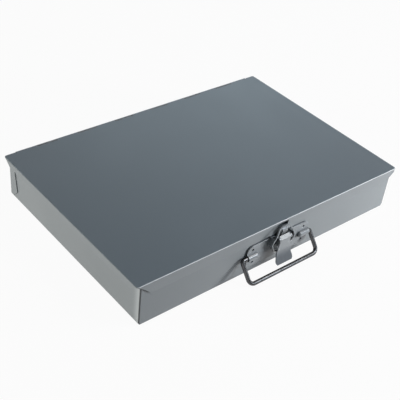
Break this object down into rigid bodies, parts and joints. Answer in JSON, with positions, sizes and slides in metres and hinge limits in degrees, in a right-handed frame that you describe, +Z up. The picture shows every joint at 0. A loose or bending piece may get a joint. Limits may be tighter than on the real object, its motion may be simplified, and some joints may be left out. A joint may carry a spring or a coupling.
{
  "type": "compartment storage box",
  "caption": "Low steel storage box with a hinged lid, scooped compartments, a spring catch and a wire bail on the front.",
  "frame": {"origin": "centre of the tray's underside, on the table, in the middle of the tray's length and depth without lid and hardware", "axes": "+X along the long front from left to right, +Y from the front to the hinge, +Z up"},
  "size_m": [0.3502, 0.2578, 0.0508],
  "materials": {
    "grey_enamel": "satin grey enamel",
    "plated_steel": "plated, slightly worn",
    "spring_steel": "plain spring wire"
  },
  "bodies": {
    "tray": {"body_tray": "grey_enamel", "catch_bracket": "grey_enamel", "catch_plate": "grey_enamel", "divider_back_1": "grey_enamel", "divider_back_2": "grey_enamel", "divider_back_3": "grey_enamel", "divider_front_1": "grey_enamel", "divider_front_2": "grey_enamel", "divider_front_3": "grey_enamel", "divider_middle_1": "grey_enamel", "divider_middle_2": "grey_enamel", "divider_middle_3": "grey_enamel", "hinge_pin": "plated_steel", "lever_pin": "plated_steel", "rivet_lower": "plated_steel", "rivet_upper": "plated_steel", "trough_back": "grey_enamel", "trough_front": "grey_enamel", "trough_middle": "grey_enamel"},
    "lid": {"lid": "grey_enamel"},
    "lever": {"catch_lever": "grey_enamel", "catch_hook": "grey_enamel", "catch_spring": "spring_steel"},
    "bail": {"bail": "plated_steel"}
  },
  "joints": [
    {"name": "lid_hinge", "type": "hinge", "parent": "tray", "child": "lid", "pos_m": [0, 0.118, 0.0488], "axis": [-1, 0, 0], "range_deg": [0, 105]},
    {"name": "lever_pivot", "type": "hinge", "parent": "tray", "child": "lever", "pos_m": [0, -0.1264, 0.0348], "axis": [1, 0, 0], "range_deg": [0, 10]},
    {"name": "bail_pivot", "type": "hinge", "parent": "tray", "child": "bail", "pos_m": [0, -0.1199, 0.0216], "axis": [-1, 0, 0], "range_deg": [-36, 98]}
  ]
}
